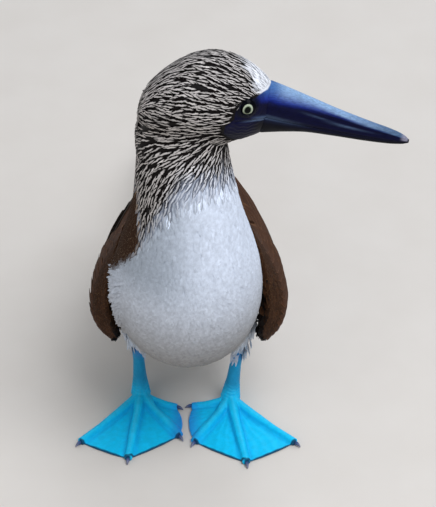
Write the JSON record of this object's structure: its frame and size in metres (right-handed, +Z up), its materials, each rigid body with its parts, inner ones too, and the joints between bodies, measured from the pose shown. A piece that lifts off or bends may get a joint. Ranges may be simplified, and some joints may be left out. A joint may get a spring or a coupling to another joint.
{
  "type": "standing blue-footed booby",
  "caption": "Life-size seabird standing on two blue webbed feet, wings folded over a wedge tail, streaked head turned over its left shoulder, with a long dagger bill.",
  "frame": {"origin": "on the floor, under the middle of the whole bird's bounding box", "axes": "+Z up, the breast faces -Y and the tail points to +Y, the bird's own left is +X and its bill points that way"},
  "size_m": [0.2568, 0.4848, 0.3731],
  "materials": {
    "white_down": "soft white body feathers with a blue-grey cast",
    "streaked_feather": "narrow dark brown feathers with pale edges",
    "brown_feather": "smooth dark brown flight and covert feathers",
    "tail_feather": "stiff brown tail feathers, paler in the middle",
    "bill_horn": "slate blue horn with a soft sheen",
    "foot_skin": "bright turquoise scaled skin",
    "claw_horn": "dark grey horn",
    "eyeball": "wet pale yellow iris with a dark pupil"
  },
  "bodies": {
    "root": {"torso": "white_down", "neck": "streaked_feather", "head": "streaked_feather", "upper_bill": "bill_horn", "lower_bill": "bill_horn", "eye_left": "eyeball", "wing_left": "brown_feather", "thigh_left": "white_down", "tarsus_left": "foot_skin", "foot_left": "foot_skin", "claw_left_outer": "claw_horn", "claw_left_middle": "claw_horn", "claw_left_inner": "claw_horn", "claw_left_hind": "claw_horn", "eye_right": "eyeball", "wing_right": "brown_feather", "thigh_right": "white_down", "tarsus_right": "foot_skin", "foot_right": "foot_skin", "claw_right_outer": "claw_horn", "claw_right_middle": "claw_horn", "claw_right_inner": "claw_horn", "claw_right_hind": "claw_horn", "tail": "tail_feather"}
  },
  "joints": []
}
